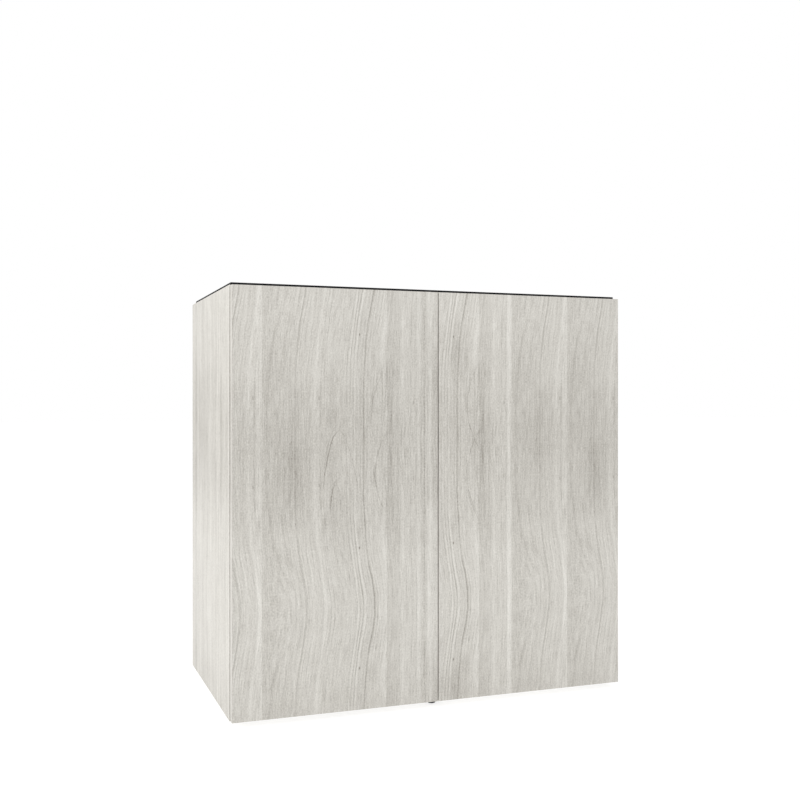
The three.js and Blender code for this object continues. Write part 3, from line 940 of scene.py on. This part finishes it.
# ---------------------------------------------------------------- feet
def foot(name):
    """Ribbed pad on a threaded stem, and the flanged socket it screws into."""
    node, holder = f"foot_{name}", f"foot_socket_{name}"
    middle = middle_of(node) / MILLIMETRE
    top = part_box(node)[1].z / MILLIMETRE
    neck, pitch, ribs = 8.0, 1.5, 20

    def ribbed(radius, height, angle):
        if radius > 8.5:
            radius -= 0.45 * max(0.0, math.cos(ribs * angle))
        return radius, height

    profile = [(0, 0), (6.6, 0), (7.8, 0.3), (8.7, 1.1), (9.0, 2.2), (9.0, neck - 0.8), (8.6, neck - 0.2),
               (8.0, neck), (3.4, neck)]
    turns = int((top - 1.0 - neck) / pitch)
    for turn in range(turns):
        profile += [(3.4, neck + turn * pitch + 0.3), (3.8, neck + turn * pitch + 0.8)]
    profile += [(3.4, top - 0.6), (3.0, top), (1.8, top), (1.5, top - 1.5), (0, top - 1.5)]
    shape = Shape()
    shape.turned(profile, at(middle.x, middle.y, 0), segments=160, radius_at=ribbed)
    shape.piece(f"{node}_moulded", BLACK, "black_plastic", BODY_OF[node], (node,))

    low, high = (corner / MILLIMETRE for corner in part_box(holder))
    flange = low.z + 2.0
    profile = [(4.1, low.z + 0.4), (4.5, low.z), (10.2, low.z), (10.8, low.z + 0.4), (11.0, low.z + 1.0),
               (11.0, flange), (7.0, flange), (7.0, high.z - 0.4), (6.6, high.z), (4.5, high.z),
               (4.1, high.z - 0.4)]
    sleeve = Shape()
    sleeve.turned(profile, at(middle.x, middle.y, 0), segments=64, ring=True)
    sleeve.piece(f"{holder}_moulded", BLACK, "black_plastic", BODY_OF[holder], (holder,))


for node in NODES:
    if node.startswith("foot_") and not node.startswith("foot_socket_"):
        foot(node.removeprefix("foot_"))


# ---------------------------------------------------------------- stage, light and camera
WHITE = (1.0, 1.0, 1.0, 1.0)
FLOOR_PAINT = (0.45, 0.45, 0.45, 1.0)
FLOOR_GLOW = 0.74
FLOOR_SIZE = 30.0
FLOOR_DROP = 0.0005
SKY_LIGHT = 0.62


def stage_plane():
    """Pale floor with a glow of its own, so that it stays near white round the feet."""
    mesh = bpy.data.meshes.new("floor")
    bm = bmesh.new()
    bmesh.ops.create_grid(bm, x_segments=1, y_segments=1, size=FLOOR_SIZE)
    bm.to_mesh(mesh)
    bm.free()
    floor = bpy.data.objects.new("floor", mesh)
    bpy.context.scene.collection.objects.link(floor)
    material = bpy.data.materials.new("studio_floor")
    material.use_nodes = True
    tree = material.node_tree
    tree.nodes.clear()
    glow = tree.nodes.new("ShaderNodeEmission")
    glow.inputs["Color"].default_value = WHITE
    glow.inputs["Strength"].default_value = FLOOR_GLOW
    paint = tree.nodes.new("ShaderNodeBsdfDiffuse")
    paint.inputs["Color"].default_value = FLOOR_PAINT
    both = tree.nodes.new("ShaderNodeAddShader")
    out = tree.nodes.new("ShaderNodeOutputMaterial")
    tree.links.new(glow.outputs[0], both.inputs[0])
    tree.links.new(paint.outputs[0], both.inputs[1])
    tree.links.new(both.outputs[0], out.inputs["Surface"])
    mesh.materials.append(material)
    floor.location.z = -FLOOR_DROP


def sky(strength):
    """Plain white to the camera, and a softer light on everything else."""
    world = bpy.data.worlds.new("studio")
    bpy.context.scene.world = world
    world.use_nodes = True
    tree = world.node_tree
    tree.nodes.clear()
    out = tree.nodes.new("ShaderNodeOutputWorld")
    seen = tree.nodes.new("ShaderNodeBackground")
    seen.inputs["Color"].default_value = WHITE
    seen.inputs["Strength"].default_value = 1.0
    lit = tree.nodes.new("ShaderNodeBackground")
    lit.inputs["Color"].default_value = WHITE
    lit.inputs["Strength"].default_value = strength
    path = tree.nodes.new("ShaderNodeLightPath")
    mix = tree.nodes.new("ShaderNodeMixShader")
    tree.links.new(path.outputs["Is Camera Ray"], mix.inputs[0])
    tree.links.new(lit.outputs[0], mix.inputs[1])
    tree.links.new(seen.outputs[0], mix.inputs[2])
    tree.links.new(mix.outputs[0], out.inputs["Surface"])


def area_light(name, place, aim, size, power):
    light = bpy.data.lights.new(name, "AREA")
    light.shape = "RECTANGLE"
    light.size, light.size_y = size
    light.energy = power
    lamp = bpy.data.objects.new(name, light)
    bpy.context.scene.collection.objects.link(lamp)
    lamp.location = place
    lamp.rotation_euler = (Vector(aim) - Vector(place)).to_track_quat("-Z", "Y").to_euler()


stage_plane()
sky(SKY_LIGHT)
area_light("side_softbox", (-3.8, -0.2, 2.3), (-0.45, 0.0, 0.7), (2.5, 2.0), 78.0)
area_light("front_softbox", (1.0, -4.3, 2.9), (0.0, -0.25, 0.6), (3.0, 2.0), 52.0)

CAMERA_PLACE = (-0.8489, -2.3234, 0.6653)
CAMERA_TURN = -0.3516
camera_data = bpy.data.cameras.new("camera")
camera_data.sensor_width = 36.0
camera_data.lens = 46.57
camera = bpy.data.objects.new("camera", camera_data)
bpy.context.scene.collection.objects.link(camera)
camera.location = CAMERA_PLACE
camera.rotation_euler = (math.pi / 2, 0.0, CAMERA_TURN)
bpy.context.scene.camera = camera
bpy.context.scene.view_settings.view_transform = "Standard"
